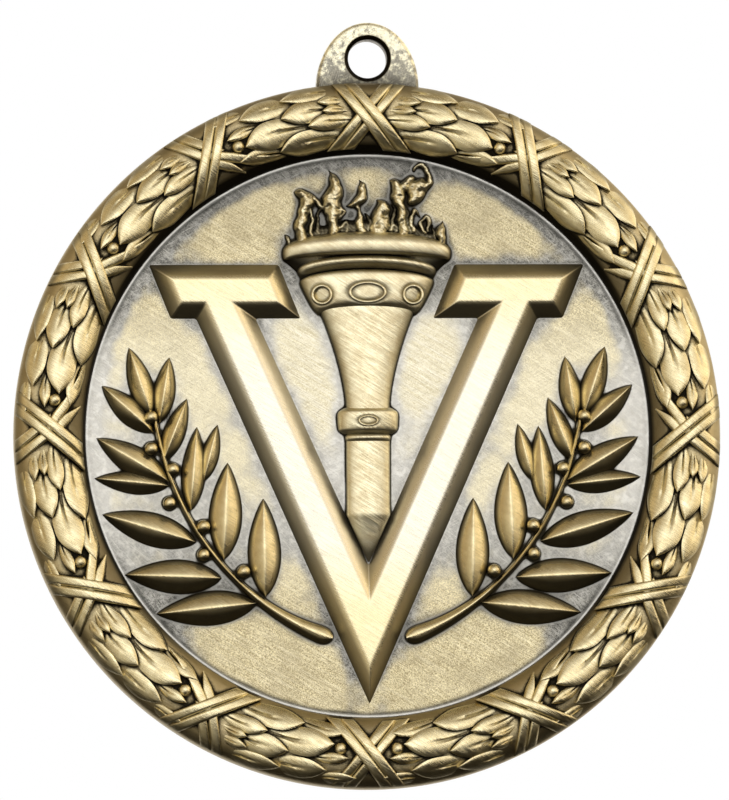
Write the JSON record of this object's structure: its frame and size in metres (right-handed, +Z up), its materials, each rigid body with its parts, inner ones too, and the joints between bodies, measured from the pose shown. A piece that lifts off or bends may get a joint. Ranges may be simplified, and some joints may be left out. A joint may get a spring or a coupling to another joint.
{
  "type": "medal",
  "caption": "Round cast relief medal with a wreath rim, a bevelled letter V, a torch, two leafy branches and a suspension lug.",
  "frame": {"origin": "centre of the disc on its flat back face", "axes": "+Y out of the flat back, so the relief faces -Y; +Z up towards the suspension lug; +X to the right of someone looking at the front"},
  "size_m": [0.065, 0.0053, 0.0707],
  "materials": {
    "field": "antique plating, brushed and matt, grey where the patina stays",
    "rim": "antique plating, dark patina",
    "lug": "antique plating, scratched",
    "wreath": "antique gold, worn bright on the ridges and dark in the recesses",
    "letter": "antique gold, polished face",
    "torch": "antique gold, satin",
    "branch": "antique gold, satin with dark recesses"
  },
  "bodies": {
    "root": {"medal_plate": "field", "rim_ring": "rim", "suspension_lug": "lug", "garland_01": "wreath", "garland_02": "wreath", "garland_03": "wreath", "garland_04": "wreath", "garland_05": "wreath", "garland_06": "wreath", "garland_07": "wreath", "garland_08": "wreath", "garland_09": "wreath", "garland_10": "wreath", "garland_11": "wreath", "garland_12": "wreath", "ribbon_tie_01": "wreath", "ribbon_tie_02": "wreath", "ribbon_tie_03": "wreath", "ribbon_tie_04": "wreath", "ribbon_tie_05": "wreath", "ribbon_tie_06": "wreath", "ribbon_tie_07": "wreath", "ribbon_tie_08": "wreath", "ribbon_tie_09": "wreath", "ribbon_tie_10": "wreath", "ribbon_tie_11": "wreath", "ribbon_tie_12": "wreath", "garland_berries": "wreath", "letter_v": "letter", "torch_flames": "torch", "torch_lip": "torch", "torch_moulding": "torch", "torch_cup": "torch", "torch_cup_rings": "torch", "torch_shaft": "torch", "torch_collar": "torch", "torch_collar_ring": "torch", "torch_bead": "torch", "torch_handle": "torch", "stem_left": "branch", "stem_right": "branch", "leaves_left": "branch", "leaves_right": "branch", "berries_left": "branch", "berries_right": "branch"}
  },
  "joints": []
}
